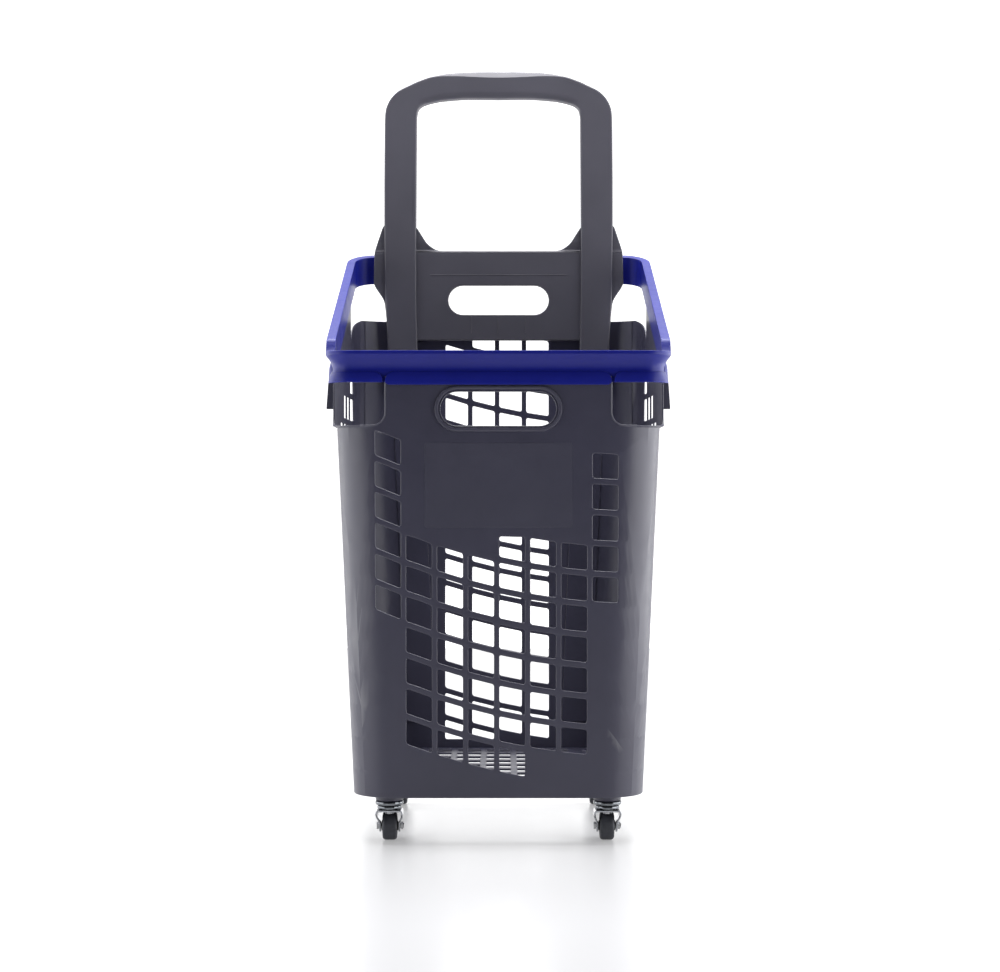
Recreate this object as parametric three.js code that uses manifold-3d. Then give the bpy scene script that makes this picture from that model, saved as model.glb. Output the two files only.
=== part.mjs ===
// Tall rolling shopping basket: a drafted polypropylene tub with a latticed wall, a sloping rim
// frame pressed over its top edge, a push handle screwed to its rear wall, and four swivel casters.
// Millimetres. +Z is up, -Y is the front, and the origin is on the floor under the middle.

import * as THREE from 'three';
import { mergeVertices } from 'three/addons/utils/BufferGeometryUtils.js';
import Module from 'manifold-3d';

const wasm = await Module();
wasm.setup();

// Fits and mesh fineness.
const GAP = 0.3;
const SCREW_CLEARANCE = 0.4;
const CORNER_SEGMENTS = 5;
const ROUND_SEGMENTS = 16;
const RIM_CORNER_STEPS = 6;
const TYRE_SEGMENTS = 28;

// Tub: outline at the bottom edge, growing outwards by DRAFT for each millimetre of height.
const DRAFT = 0.0435;
const TUB_BOTTOM = 58;
const TUB_HALF_WIDTH = 178.8;
const TUB_FRONT = -191.5;
const TUB_REAR = 186;
const TUB_CORNER = 56;
const WALL = 3;
const FLOOR_TOP = 74;
const FLOOR_THICKNESS = 3;
const REAR_TOP = 667;
const SIDE_PANEL_FRONT = -150;
const SIDE_PANEL_REAR = 140;

// Collar: the wall above the ledge stands further out at the sides and is upright there.
const LEDGE = 510.5;
const COLLAR_HALF_WIDTH = 203.8;
const COLLAR_TOP = 790;

// Windows round the front corners.
const WINDOW_INNER = 136.5;
const WINDOW_ROUND = 16;

// Rim frame: a loop that climbs to the rear.
const RIM_HALF_WIDTH = 210;
const RIM_HALF_DEPTH = 220;
const RIM_CORNER = 33;
const RIM_REAR_CORNER = 38;
const NOTCH_X = 138;
// Depths and climbs of the short ramps that take the side rails up from the level front bar.
const RAMP = [[-186, 0.5], [-184, 2.5], [-181, 7.5], [-178, 12.7], [-176, 15.2], [-173, 17.2]];
const RAIL_STATIONS = [-120, -60, 0, 60, 120];
const RIM_HEIGHT = 38;
const RIM_FRONT_BOTTOM = 562;
const RIM_SLOPE = 161 / 440;
const RIM_TOP_WIDTH = 11.5;
const RIM_TOP_LIP = 5;
const RIM_BOTTOM_LIP = 3;
const RIM_BOTTOM_INSET = 3.5;
const RIM_WAIST = 8.5;
const TONGUE = 4.5;

const SKIRT_FRONT = -140;
const SKIRT_REAR = 130;
const SKIRT_DROP = 60;
const SKIRT_RIBS = [-140, -51, 39, 128];

// Lattice of the front and rear walls: leaning cells in upright columns.
const CELL_PITCH = 37.3;
const CELL_HEIGHT = 29.7;
const COLUMN_PITCH = 37.55;
const CELL_WIDTH = 31;
const FIRST_COLUMN = -149;
const BEND_CENTRE = 173;
const BEND_SIZE = 1534;
const FRONT_ROW_ZERO = 325;
const REAR_ROW_ZERO = 333.8;
const FRONT_FLAT_TOP = 376;
const REAR_FLAT_TOP = 648;
const REAR_FLAT_BOTTOM = 86;
const FRONT_ROWS = [[-3, 2], [0, 6], [0, 6], [0, 6], [-1, 6], [-1, 5], [-1, 5], [-4, 0]];
const REAR_COLUMNS = [2, 3, 4, 5];
const REAR_ROWS = [-8, 7];

// Lattice of the side walls.
const SIDE_TOP_ROW = 556;
const SIDE_PITCH = 58;
const SIDE_FIRST = -80;
const SIDE_CELL = 51.4;
const SIDE_REAR_END = 166;
const SIDE_ROWS = [[2, 11], [1, 11], [0, 11], [0, 11], [-1, 2]];

// Floor grate.
const GRATE_COLUMNS = 7;
const GRATE_ROWS = 8;
const GRATE_PITCH_X = 40;
const GRATE_PITCH_Y = 41;
const GRATE_CELL = [32, 28];
const GRATE_CENTRE_Y = 12;
const BOSS_CLEARANCE = 24;

// Hand slots in the front wall and in the handle panel.
const SLOT = [140, 41];
const SLOT_RIM = [154, 55];
const SLOT_RIM_PROUD = 3;
const FRONT_SLOT_Z = 530;
const HANDLE_SLOT_Z = 696;

// Push handle.
const BOW_FRONT = 191;
const PANEL_FRONT = 196;
const HANDLE_BACK = RIM_HALF_DEPTH - RIM_TOP_WIDTH - GAP;
const GRIP_BACK = 213;
const GRIP_BOTTOM = 775;
const LEG_BOTTOM = 560;
const SCOOP = [[190, 1003], [198.2, 1016], [190, 1016]];

// Handle screws: distance from the middle, height, and where the head sits.
const UPPER_SCREW = [150, 738, 213.2];
const LOWER_SCREW = [131, 610, 210.7];
const SCREW_TIP = 199;

// Casters.
const CASTER_X = 134;
const CASTER_FRONT_Y = -155;
const CASTER_REAR_Y = 145;
const TRAIL = 13;
const BOSS_BOTTOM = 51;
const BOSS_RADIUS = 17;
const STEM_RADIUS = 4;
const UPPER_RACE = [45.4, 50.7, 17.4];
const LOWER_RACE = [40, 45.1, 15];
const CROWN = [37.2, 39.7];
const FORK_CROWN_HALF = 17;
const FORK_FOOT_HALF = 13;
const FORK_PLATE = 2.2;
const FORK_FOOT_Z = 9.5;
const FORK_FOOT_RADIUS = 7.5;
const WHEEL_RADIUS = 17.5;
const WHEEL_WIDTH = 18;
const HUB_RADIUS = 10.5;
const HUB_WIDTH = 20.6;
const AXLE_RADIUS = 3;

const tubPlastic = new THREE.MeshStandardMaterial({ color: 0x414249, roughness: 0.42, metalness: 0 });
const rimPlastic = new THREE.MeshStandardMaterial({ color: 0x1d1f78, roughness: 0.34, metalness: 0 });
const chrome = new THREE.MeshStandardMaterial({ color: 0xc8c9cc, roughness: 0.14, metalness: 1 });
const zincSteel = new THREE.MeshStandardMaterial({ color: 0x9da0a4, roughness: 0.34, metalness: 1 });
const tyreRubber = new THREE.MeshStandardMaterial({ color: 0x202124, roughness: 0.7, metalness: 0 });
const hubPlastic = new THREE.MeshStandardMaterial({ color: 0x141416, roughness: 0.5, metalness: 0 });

// A closed three.js geometry as a solid that can be joined and cut.
function solid(geometry) {
  geometry.deleteAttribute('normal');
  geometry.deleteAttribute('uv');
  const welded = mergeVertices(geometry, 1e-4);
  const corners = welded.index.array;
  const kept = [];
  for (let i = 0; i < corners.length; i += 3) {
    const [a, b, c] = [corners[i], corners[i + 1], corners[i + 2]];
    if (a !== b && b !== c && c !== a) kept.push(a, b, c);
  }
  return new wasm.Manifold(new wasm.Mesh({
    numProp: 3,
    vertProperties: welded.attributes.position.array,
    triVerts: new Uint32Array(kept),
  }));
}

// A solid as a named mesh.
function mesh(name, body, material) {
  const data = body.getMesh();
  const geometry = new THREE.BufferGeometry();
  geometry.setAttribute('position', new THREE.BufferAttribute(data.vertProperties, 3));
  geometry.setIndex(new THREE.BufferAttribute(data.triVerts, 1));
  const flat = geometry.toNonIndexed();
  flat.computeVertexNormals();
  const made = new THREE.Mesh(flat, material);
  made.name = name;
  return made;
}

function joined(bodies) {
  return bodies.reduce((all, body) => all.add(body));
}

function cutAll(body, cutters) {
  return cutters.reduce((left, cutter) => left.subtract(cutter), body);
}

function polygon(points) {
  return new THREE.Shape(points.map(([x, y]) => new THREE.Vector2(x, y)));
}

function roundedRectangle(x0, x1, y0, y1, radius) {
  const shape = new THREE.Shape();
  shape.moveTo(x0 + radius, y0);
  shape.lineTo(x1 - radius, y0);
  shape.absarc(x1 - radius, y0 + radius, radius, -Math.PI / 2, 0, false);
  shape.lineTo(x1, y1 - radius);
  shape.absarc(x1 - radius, y1 - radius, radius, 0, Math.PI / 2, false);
  shape.lineTo(x0 + radius, y1);
  shape.absarc(x0 + radius, y1 - radius, radius, Math.PI / 2, Math.PI, false);
  shape.lineTo(x0, y0 + radius);
  shape.absarc(x0 + radius, y0 + radius, radius, Math.PI, 1.5 * Math.PI, false);
  return shape;
}

function stadium([width, height], z) {
  return roundedRectangle(-width / 2, width / 2, z - height / 2, z + height / 2, height / 2 - 0.01);
}

function extruded(shape, depth, steps = 1, curveSegments = CORNER_SEGMENTS) {
  return new THREE.ExtrudeGeometry(shape, { depth, steps, curveSegments, bevelEnabled: false });
}

// An outline in X and Z, pushed along Y from front to back.
function throughY(shape, front, back) {
  return solid(extruded(shape, back - front).rotateX(Math.PI / 2).translate(0, back, 0));
}

// An outline in Y and Z, pushed along X from left to right.
function throughX(shape, left, right) {
  const geometry = extruded(shape, right - left);
  geometry.rotateX(Math.PI / 2).rotateZ(Math.PI / 2);
  return solid(geometry.translate(left, 0, 0));
}

// A ring or disc about Z: radius and height pairs round a closed outline.
function turned(points, segments = ROUND_SEGMENTS) {
  const outline = [...points, points[0]].map(([r, z]) => new THREE.Vector2(r, z));
  return solid(new THREE.LatheGeometry(outline, segments).rotateX(Math.PI / 2));
}

function discZ(radius, bottom, top, x = 0, y = 0, segments = ROUND_SEGMENTS) {
  const geometry = new THREE.CylinderGeometry(radius, radius, top - bottom, segments);
  return solid(geometry.rotateX(Math.PI / 2).translate(x, y, (top + bottom) / 2));
}

function discY(radius, front, back, x, z, segments = ROUND_SEGMENTS) {
  const geometry = new THREE.CylinderGeometry(radius, radius, back - front, segments);
  return solid(geometry.translate(x, (front + back) / 2, z));
}

function discX(radius, left, right, y, z, segments = ROUND_SEGMENTS) {
  const geometry = new THREE.CylinderGeometry(radius, radius, right - left, segments);
  return solid(geometry.rotateZ(Math.PI / 2).translate((left + right) / 2, y, z));
}

function box(x0, x1, y0, y1, z0, z1) {
  const geometry = new THREE.BoxGeometry(x1 - x0, y1 - y0, z1 - z0);
  return solid(geometry.translate((x0 + x1) / 2, (y0 + y1) / 2, (z0 + z1) / 2));
}

// Lifts each point by the climb of the rim frame at its depth.
function climbing(geometry) {
  const points = geometry.attributes.position;
  for (let i = 0; i < points.count; i += 1) {
    points.setZ(i, points.getZ(i) + RIM_SLOPE * (points.getY(i) + RIM_HALF_DEPTH));
  }
  return geometry;
}

// A closed rounded block whose front and rear walls lean out by DRAFT, and its sides by lean.
function leaningBlock(halfWidth, lean, inset, bottom, top) {
  const low = bottom - TUB_BOTTOM;
  const front = TUB_FRONT + inset - low * DRAFT;
  const rear = TUB_REAR - inset + low * DRAFT;
  const outline = roundedRectangle(-halfWidth, halfWidth, front, rear, TUB_CORNER - inset);
  const geometry = extruded(outline, top - bottom);
  const points = geometry.attributes.position;
  for (let i = 0; i < points.count; i += 1) {
    const [x, y, z] = [points.getX(i), points.getY(i), points.getZ(i)];
    points.setXYZ(i, x + Math.sign(x) * z * lean, y + Math.sign(y) * z * DRAFT, z + bottom);
  }
  return solid(geometry);
}

// The tub's form below the ledge, moved inwards by inset.
function tubForm(inset, bottom, top) {
  return leaningBlock(TUB_HALF_WIDTH - inset + (bottom - TUB_BOTTOM) * DRAFT, DRAFT, inset, bottom, top);
}

// The tub's form above the ledge, with upright sides.
function collarForm(inset, bottom, top) {
  return leaningBlock(COLLAR_HALF_WIDTH - inset, 0, inset, bottom, top);
}

// Everything above the sloping line that the side and front walls end on.
function aboveTongue(lift) {
  const block = new THREE.BoxGeometry(600, 700, 400, 1, 1, 1);
  return solid(climbing(block.translate(0, 0, RIM_FRONT_BOTTOM + TONGUE + lift + 200)));
}

// The opening round one front corner, with rounded lower ends on both walls.
function cornerWindow(side, margin) {
  const inner = WINDOW_INNER + margin;
  const rear = SIDE_PANEL_FRONT - margin;
  const top = COLLAR_TOP + 50;
  const [left, right] = side > 0 ? [inner, 260] : [-260, -inner];
  const seenFromFront = roundedRectangle(left, right, LEDGE, top, WINDOW_ROUND);
  const seenFromSide = roundedRectangle(-280, rear, LEDGE, top, WINDOW_ROUND);
  return throughY(seenFromFront, -260, rear).intersect(throughX(seenFromSide, left, right));
}

// Everything above the top edge of the rear wall and its dipping corners.
function aboveRearWall() {
  const top = COLLAR_TOP + 50;
  const dip = REAR_TOP - 30;
  return throughX(polygon([
    [SIDE_PANEL_REAR, dip + 3], [SIDE_PANEL_REAR + 3, dip], [SIDE_PANEL_REAR + 10, dip + 1],
    [SIDE_PANEL_REAR + 32, REAR_TOP - 8], [SIDE_PANEL_REAR + 52, REAR_TOP],
    [300, REAR_TOP], [300, top], [SIDE_PANEL_REAR, top],
  ]), -260, 260);
}

function tubShell() {
  const floorBottom = FLOOR_TOP - FLOOR_THICKNESS;
  const lower = tubForm(0, TUB_BOTTOM, LEDGE)
    .subtract(tubForm(WALL, TUB_BOTTOM - 10, floorBottom))
    .subtract(tubForm(WALL, FLOOR_TOP, LEDGE + 10));
  const upper = collarForm(0, LEDGE - WALL, COLLAR_TOP)
    .subtract(collarForm(WALL, LEDGE, COLLAR_TOP + 10))
    .subtract(tubForm(WALL, LEDGE - 20, LEDGE + 1));
  return cutAll(lower.add(upper), [
    aboveTongue(0), aboveRearWall(), cornerWindow(1, 0), cornerWindow(-1, 0),
  ]);
}

// The outline of one leaning cell: its top and bottom follow the bend of its row.
function leaningCell(left, rowZero, row, ceiling, floor) {
  const right = left + CELL_WIDTH;
  const topAt = (x) => rowZero + (BEND_CENTRE - x) ** 2 / BEND_SIZE - CELL_PITCH * row;
  const high = (x) => Math.min(topAt(x), ceiling);
  const low = (x) => Math.max(topAt(x) - CELL_HEIGHT, floor);
  return polygon([[left, low(left)], [right, low(right)], [right, high(right)], [left, high(left)]]);
}

function frontCells() {
  return FRONT_ROWS.flatMap(([first, last], column) => {
    const left = FIRST_COLUMN + COLUMN_PITCH * column;
    const ceiling = column === 4 ? FRONT_FLAT_TOP : COLLAR_TOP;
    const cells = [];
    for (let row = first; row <= last; row += 1) {
      cells.push(throughY(leaningCell(left, FRONT_ROW_ZERO, row, ceiling, 0), -240, -170));
    }
    return cells;
  });
}

function rearCells() {
  return REAR_COLUMNS.flatMap((column) => {
    const left = FIRST_COLUMN + COLUMN_PITCH * column;
    const cells = [];
    for (let row = REAR_ROWS[0]; row <= REAR_ROWS[1]; row += 1) {
      const top = REAR_ROW_ZERO + (BEND_CENTRE - left) ** 2 / BEND_SIZE - CELL_PITCH * row;
      const fits = top - CELL_HEIGHT < REAR_FLAT_TOP - 8 && top > REAR_FLAT_BOTTOM + 12;
      if (fits) {
        const cell = leaningCell(left, REAR_ROW_ZERO, row, REAR_FLAT_TOP, REAR_FLAT_BOTTOM);
        cells.push(throughY(cell, 165, 240));
      }
    }
    return cells;
  });
}

function sideCells(side) {
  const [left, right] = side > 0 ? [160, 207] : [-207, -160];
  return SIDE_ROWS.flatMap(([first, last], column) => {
    const centre = SIDE_FIRST + SIDE_PITCH * column;
    const cells = [];
    for (let row = first; row <= last; row += 1) {
      const top = SIDE_TOP_ROW - CELL_PITCH * row;
      const rear = Math.min(centre + SIDE_CELL / 2, SIDE_REAR_END);
      cells.push(box(left, right, centre - SIDE_CELL / 2, rear, top - CELL_HEIGHT, top));
    }
    return cells;
  });
}

function casterPlaces() {
  return [
    { name: 'front_left', x: -CASTER_X, y: CASTER_FRONT_Y },
    { name: 'front_right', x: CASTER_X, y: CASTER_FRONT_Y },
    { name: 'rear_left', x: -CASTER_X, y: CASTER_REAR_Y },
    { name: 'rear_right', x: CASTER_X, y: CASTER_REAR_Y },
  ];
}

// The grate's holes, leaving the floor whole round each caster boss.
function floorCells() {
  const cells = [];
  const [width, depth] = GRATE_CELL;
  for (let i = 0; i < GRATE_COLUMNS; i += 1) {
    for (let j = 0; j < GRATE_ROWS; j += 1) {
      const x = (i - (GRATE_COLUMNS - 1) / 2) * GRATE_PITCH_X;
      const y = GRATE_CENTRE_Y + (j - (GRATE_ROWS - 1) / 2) * GRATE_PITCH_Y;
      const blocked = casterPlaces().some((place) => Math.abs(place.x - x) < BOSS_CLEARANCE + width / 2 - 10
        && Math.abs(place.y - y) < BOSS_CLEARANCE + depth / 2 - 6);
      if (!blocked) {
        cells.push(box(x - width / 2, x + width / 2, y - depth / 2, y + depth / 2, FLOOR_TOP - 10, FLOOR_TOP + 5));
      }
    }
  }
  return cells;
}

// A downward-flaring skirt under the rim frame along one side, with ribs that tie it to the wall.
function sideSkirt(side) {
  const along = (points, front, back) => {
    const outline = polygon(points.map(([x, z]) => [side * x, z + RIM_FRONT_BOTTOM]));
    return solid(climbing(extruded(outline, back - front).rotateX(Math.PI / 2).translate(0, back, 0)));
  };
  const skin = along([
    [203, -1], [206.2, -1], [209, -8], [213, -SKIRT_DROP], [211.2, -SKIRT_DROP], [207.2, -8], [204.8, -4], [203, -4],
  ], SKIRT_FRONT, SKIRT_REAR);
  const ribs = SKIRT_RIBS.map((y) => along([[203, -3], [205, -3], [208, -8], [212, -SKIRT_DROP], [203, -SKIRT_DROP]], y, y + 2));
  return joined([skin, ...ribs]);
}

// The raised band down the inside of the rear wall in line with one handle leg.
function legBand(side) {
  const outline = polygon([[128, 110], [150.4, LEG_BOTTOM - 4], [109.4, LEG_BOTTOM - 4], [87.6, 110]]
    .map(([x, z]) => [side * x, z]));
  const layer = tubForm(1, TUB_BOTTOM, LEDGE).subtract(tubForm(WALL + 1.6, TUB_BOTTOM - 10, LEDGE + 10));
  const upperLayer = collarForm(1, LEDGE - 1, COLLAR_TOP)
    .subtract(collarForm(WALL + 1.6, LEDGE - 10, COLLAR_TOP + 10));
  return throughY(outline, 150, 240).intersect(layer.add(upperLayer));
}

function slotRim() {
  const middle = TUB_FRONT - DRAFT * (FRONT_SLOT_Z - TUB_BOTTOM);
  return throughY(stadium(SLOT_RIM, FRONT_SLOT_Z), middle - SLOT_RIM_PROUD, middle + 2);
}

function skirtNotch() {
  return throughY(polygon([[-92, 50], [92, 50], [84, 66], [-84, 66]]), 150, 220);
}

function makeTub() {
  const bosses = casterPlaces().map(({ x, y }) => discZ(BOSS_RADIUS, BOSS_BOTTOM, FLOOR_TOP, x, y));
  const stemHoles = casterPlaces().map(({ x, y }) => discZ(STEM_RADIUS + GAP, 40, 90, x, y, 12));
  const screwHoles = [-1, 1].map((side) => discY(3 + SCREW_CLEARANCE, 190, 230, side * LOWER_SCREW[0], LOWER_SCREW[1], 12));
  const whole = joined([
    tubShell(), slotRim(), sideSkirt(1), sideSkirt(-1), legBand(1), legBand(-1), ...bosses,
  ]);
  const lattice = [...frontCells(), ...rearCells(), ...sideCells(1), ...sideCells(-1), ...floorCells()];
  const slot = throughY(stadium(SLOT, FRONT_SLOT_Z), -240, -180);
  return cutAll(whole, [...lattice, ...stemHoles, ...screwHoles, slot, skirtNotch()]);
}

// How far the rim frame's outer face stands in from its top edge, at a height above its bottom.
function rimInset(height) {
  if (height >= RIM_HEIGHT - RIM_TOP_LIP) return 0;
  if (height <= RIM_BOTTOM_LIP) return RIM_BOTTOM_INSET;
  const t = (RIM_HEIGHT - RIM_TOP_LIP - height) / (RIM_HEIGHT - RIM_TOP_LIP - RIM_BOTTOM_LIP);
  const pull = 2 * RIM_WAIST - RIM_BOTTOM_INSET / 2;
  return 2 * t * (1 - t) * pull + t * t * RIM_BOTTOM_INSET;
}

// The climb of the rim frame above its level front bar at a depth.
function rimClimb(y) {
  const [rampEnd, rampTop] = RAMP[RAMP.length - 1];
  if (y >= rampEnd) return rampTop + RIM_SLOPE * (y - rampEnd);
  const next = RAMP.findIndex(([depth]) => depth > y);
  if (next <= 0) return 0;
  const [[y0, z0], [y1, z1]] = [RAMP[next - 1], RAMP[next]];
  return z0 + (z1 - z0) * (y - y0) / (y1 - y0);
}

// Points round the rim frame's outer outline, with the outward direction at each.
function rimStations() {
  const corner = (side, end, radius, start) => {
    const centre = [side * (RIM_HALF_WIDTH - radius), end * (RIM_HALF_DEPTH - radius)];
    return Array.from({ length: RIM_CORNER_STEPS + 1 }, (_, k) => {
      const angle = (start + 90 * k / RIM_CORNER_STEPS) * Math.PI / 180;
      const [outX, outY] = [Math.cos(angle), Math.sin(angle)];
      return [centre[0] + radius * outX, centre[1] + radius * outY, outX, outY];
    });
  };
  const depths = [...RAMP.map(([y]) => y), ...RAIL_STATIONS];
  return [
    ...corner(1, -1, RIM_CORNER, -90), ...depths.map((y) => [RIM_HALF_WIDTH, y, 1, 0]),
    ...corner(1, 1, RIM_REAR_CORNER, 0), ...corner(-1, 1, RIM_REAR_CORNER, 90),
    ...depths.reverse().map((y) => [-RIM_HALF_WIDTH, y, -1, 0]), ...corner(-1, -1, RIM_CORNER, 180),
  ];
}

// The rim frame as one closed loop: its section carried round the stations.
function rimLoop(section) {
  const stations = rimStations();
  const points = stations.flatMap(([x, y, outX, outY]) => section.map(([inset, height]) => {
    const [px, py] = [x - outX * inset, y - outY * inset];
    return [px, py, RIM_FRONT_BOTTOM + height + rimClimb(py)];
  }));
  const index = [];
  for (let i = 0; i < stations.length; i += 1) {
    const j = (i + 1) % stations.length;
    for (let k = 0; k < section.length; k += 1) {
      const m = (k + 1) % section.length;
      const [a, b, c, d] = [i * section.length + k, j * section.length + k, j * section.length + m, i * section.length + m];
      index.push(a, c, b, a, d, c);
    }
  }
  const geometry = new THREE.BufferGeometry();
  geometry.setAttribute('position', new THREE.BufferAttribute(new Float32Array(points.flat()), 3));
  geometry.setIndex(index);
  return solid(geometry);
}

// The tub's top edge grown by the assembly gap, which leaves the groove it sits in.
function tongueSpace() {
  const band = collarForm(-GAP, LEDGE, COLLAR_TOP).subtract(collarForm(WALL + GAP, LEDGE - 5, COLLAR_TOP + 5));
  return cutAll(band, [
    aboveTongue(GAP), cornerWindow(1, GAP), cornerWindow(-1, GAP),
    box(-260, 260, SIDE_PANEL_REAR + GAP, 260, LEDGE - 10, COLLAR_TOP + 10),
  ]);
}

function makeRimFrame() {
  const scotiaTop = RIM_HEIGHT - RIM_TOP_LIP;
  const heights = [RIM_HEIGHT, scotiaTop, 28, 23, 18, 13, 8, RIM_BOTTOM_LIP, 0];
  const outer = rimLoop([
    ...heights.map((height) => [rimInset(height), height]), [RIM_TOP_WIDTH, 0], [RIM_TOP_WIDTH, RIM_HEIGHT],
  ]);
  const apronFace = RIM_BOTTOM_INSET - RIM_HALF_DEPTH;
  const apron = box(4 - NOTCH_X, NOTCH_X - 4, apronFace + 0.1, apronFace + 2.1,
    RIM_FRONT_BOTTOM - 3, RIM_FRONT_BOTTOM + 4);
  const reliefs = [-1, 1].map((side) => {
    const x = side * NOTCH_X;
    const outline = polygon([[x - 4, RIM_FRONT_BOTTOM - 5], [x + 4, RIM_FRONT_BOTTOM - 5], [x, RIM_FRONT_BOTTOM + 11]]);
    return throughY(outline, -RIM_HALF_DEPTH - 1, apronFace + 2.2);
  });
  const holes = [-1, 1].map((side) => discY(3 + SCREW_CLEARANCE, 200, 230, side * UPPER_SCREW[0], UPPER_SCREW[1], 12));
  return cutAll(outer.add(apron), [tongueSpace(), ...reliefs, ...holes]);
}

function mirrored(points) {
  return points.map(([x, z]) => [-x, z]).reverse();
}

// The bow: two legs and the arched grip as one band, open at the bottom.
function bowOutline() {
  const outer = [
    [150.6, LEG_BOTTOM], [154, 628], [157.6, 700], [159, 802], [158.4, 930], [157, 960], [151.4, 973.8], [146, 980.7],
    [134, 989.9], [114.4, 999.1], [95, 1006.2], [66, 1011.8], [27, 1014.2],
  ];
  const inner = [
    [15, 977], [45.8, 977], [84.6, 973.6], [109, 966], [113.6, 958], [114.7, 798.5], [114.7, 700],
    [113, 628], [109.7, LEG_BOTTOM],
  ];
  return polygon([...outer, ...mirrored(outer), ...mirrored(inner), ...inner]);
}

// The panel between the legs, with a wing outside each leg and a chamfered upper edge.
function panelOutline() {
  const right = [
    [155, 648], [159, 695], [171.6, 713.5], [174, 719], [173, 763], [160, 802], [114.7, 798.5],
    [99.4, 774], [93, 768.5], [85.5, 765],
  ];
  return polygon([...right, ...mirrored(right)]);
}

function makePushHandle() {
  const panel = throughY(panelOutline(), PANEL_FRONT, HANDLE_BACK);
  const bow = throughY(bowOutline(), BOW_FRONT, HANDLE_BACK);
  const grip = throughY(bowOutline(), BOW_FRONT, GRIP_BACK)
    .subtract(box(-200, 200, BOW_FRONT - 5, GRIP_BACK + 5, LEG_BOTTOM - 5, GRIP_BOTTOM));
  const rearWall = box(-250, 250, 100, 300, LEG_BOTTOM - 20, REAR_TOP + 2 * GAP)
    .subtract(collarForm(WALL + GAP, LEDGE, COLLAR_TOP));
  const screwHoles = [UPPER_SCREW, LOWER_SCREW].flatMap(([x, z]) => [-1, 1].map(
    (side) => discY(3 + SCREW_CLEARANCE, SCREW_TIP - GAP, 230, side * x, z, 12),
  ));
  const slot = throughY(stadium(SLOT, HANDLE_SLOT_Z), 150, 250);
  const scoop = throughX(polygon(SCOOP), -170, 170);
  return cutAll(joined([panel, bow, grip]), [slot, scoop, rearWall, ...screwHoles]);
}

// A pan-head screw driven in from behind: head between seat and seat + 3.4.
function makeScrew(side, [x, z, seat]) {
  const shank = discY(3, SCREW_TIP, seat + 1, side * x, z, 12);
  const head = discY(5, seat, seat + 3.4, side * x, z, 16);
  const recess = box(side * x - 2.2, side * x + 2.2, seat + 2, seat + 9, z - 0.6, z + 0.6)
    .add(box(side * x - 0.6, side * x + 0.6, seat + 2, seat + 9, z - 2.2, z + 2.2));
  return shank.add(head).subtract(recess);
}

function makeStem() {
  const shank = discZ(STEM_RADIUS, 34.4, FLOOR_TOP + 3, 0, 0, 12);
  const hexHead = discZ(7.5, FLOOR_TOP + 2, FLOOR_TOP + 7.5, 0, 0, 6);
  return joined([shank, hexHead, discZ(5, 34.2, CROWN[0] - GAP, 0, 0, 12)]);
}

function makeWasher() {
  const [inner, outer, bottom, top] = [STEM_RADIUS + GAP, 9, FLOOR_TOP + GAP, FLOOR_TOP + 1.7];
  return turned([[inner, bottom], [outer, bottom], [outer, top], [inner, top]], 12);
}

function makeRace([bottom, top, radius]) {
  const inner = STEM_RADIUS + GAP;
  const lip = 1.4;
  return turned([[inner, bottom], [radius - lip, bottom], [radius, bottom + lip], [radius, top], [inner, top]]);
}

// A pressed fork: an inverted U seen from the front, narrowing to the axle seen from the side.
function makeFork() {
  const [crown, foot, plate] = [FORK_CROWN_HALF, FORK_FOOT_HALF, FORK_PLATE];
  const [bottom, top] = CROWN;
  const outside = [[foot, FORK_FOOT_Z - 1], [foot, 21.5], [crown, 30], [crown, bottom + 0.8], [crown - 1.7, top]];
  const inside = [
    [crown - plate - 0.6, bottom], [crown - plate, 31], [foot - plate, 22.5], [foot - plate, FORK_FOOT_Z - 1],
  ];
  const section = polygon([
    ...outside, ...outside.map(([x, z]) => [-x, z]).reverse(),
    ...inside.map(([x, z]) => [-x, z]).reverse(), ...inside,
  ]);
  const side = new THREE.Shape();
  const round = FORK_FOOT_RADIUS;
  side.moveTo(-15, top + 1);
  side.lineTo(-15, 33);
  side.lineTo(TRAIL - round, WHEEL_RADIUS - 2);
  side.absarc(TRAIL, WHEEL_RADIUS - 0.5, round, Math.PI * 1.05, Math.PI * 2, false);
  side.lineTo(TRAIL + round, 33);
  side.lineTo(14, top + 1);
  const cheeks = throughX(side, -crown - 1, crown + 1);
  return cutAll(throughY(section, -15, TRAIL + round + 1).intersect(cheeks), [
    discZ(STEM_RADIUS + GAP, 30, 45, 0, 0, 12), discX(AXLE_RADIUS + GAP, -20, 20, TRAIL, WHEEL_RADIUS, 8),
  ]);
}

function makeAxle() {
  const seat = FORK_FOOT_HALF + GAP;
  const shank = discX(AXLE_RADIUS, -seat - 1, seat + 4, 0, 0, 12);
  return shank.add(discX(4.4, -seat - 3, -seat, 0, 0, 6));
}

function makeAxleNut() {
  const seat = FORK_FOOT_HALF + GAP;
  return discX(4.6, seat, seat + 3, 0, 0, 6).subtract(discX(AXLE_RADIUS + GAP, 0, 30, 0, 0, 12));
}

// A wheel part turned about the axle, with its flats set so that one lies level below.
function turnedWheelPart(points, segments) {
  const flat = 1 / Math.cos(Math.PI / segments);
  const body = [...points, points[0]].map(([r, x]) => new THREE.Vector2(r * flat, x));
  const geometry = new THREE.LatheGeometry(body, segments);
  return solid(geometry.rotateY(Math.PI / segments).rotateZ(Math.PI / 2));
}

function makeHub() {
  const [bore, half, side] = [AXLE_RADIUS + GAP, HUB_WIDTH / 2, WHEEL_WIDTH / 2];
  return turnedWheelPart([
    [bore, -half], [6.5, -half], [6.5, -side], [HUB_RADIUS, 1 - side], [HUB_RADIUS, side - 1],
    [6.5, side], [6.5, half], [bore, half],
  ], ROUND_SEGMENTS);
}

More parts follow.
